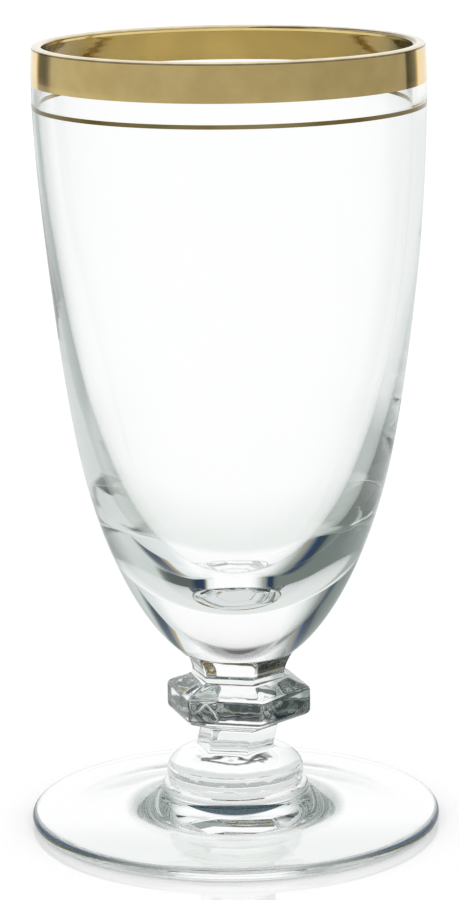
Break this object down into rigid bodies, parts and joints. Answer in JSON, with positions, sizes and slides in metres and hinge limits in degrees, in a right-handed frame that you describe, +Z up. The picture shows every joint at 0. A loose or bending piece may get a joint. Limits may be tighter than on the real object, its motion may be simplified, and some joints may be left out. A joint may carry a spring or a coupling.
{
  "type": "footed juice glass",
  "caption": "Footed juice glass: tall tapered bowl with a heavy base and gilded rim, on a short six-sided knopped stem and a round foot.",
  "frame": {"origin": "middle of the circle that the foot stands on", "axes": "+Z up along the glass's axis; +X through one corner of the six-sided knop"},
  "size_m": [0.0652, 0.0652, 0.1242],
  "materials": {
    "bowl_glass": "clear, fire polished",
    "stem_glass": "clear, pressed",
    "foot_glass": "clear, fire polished",
    "band_gold": "bright fired gold, slightly worn",
    "line_gold": "fired gold hairline, slightly worn"
  },
  "bodies": {
    "root": {"bowl": "bowl_glass", "stem": "stem_glass", "foot": "foot_glass", "gold_band": "band_gold", "gold_line": "line_gold"}
  },
  "joints": []
}
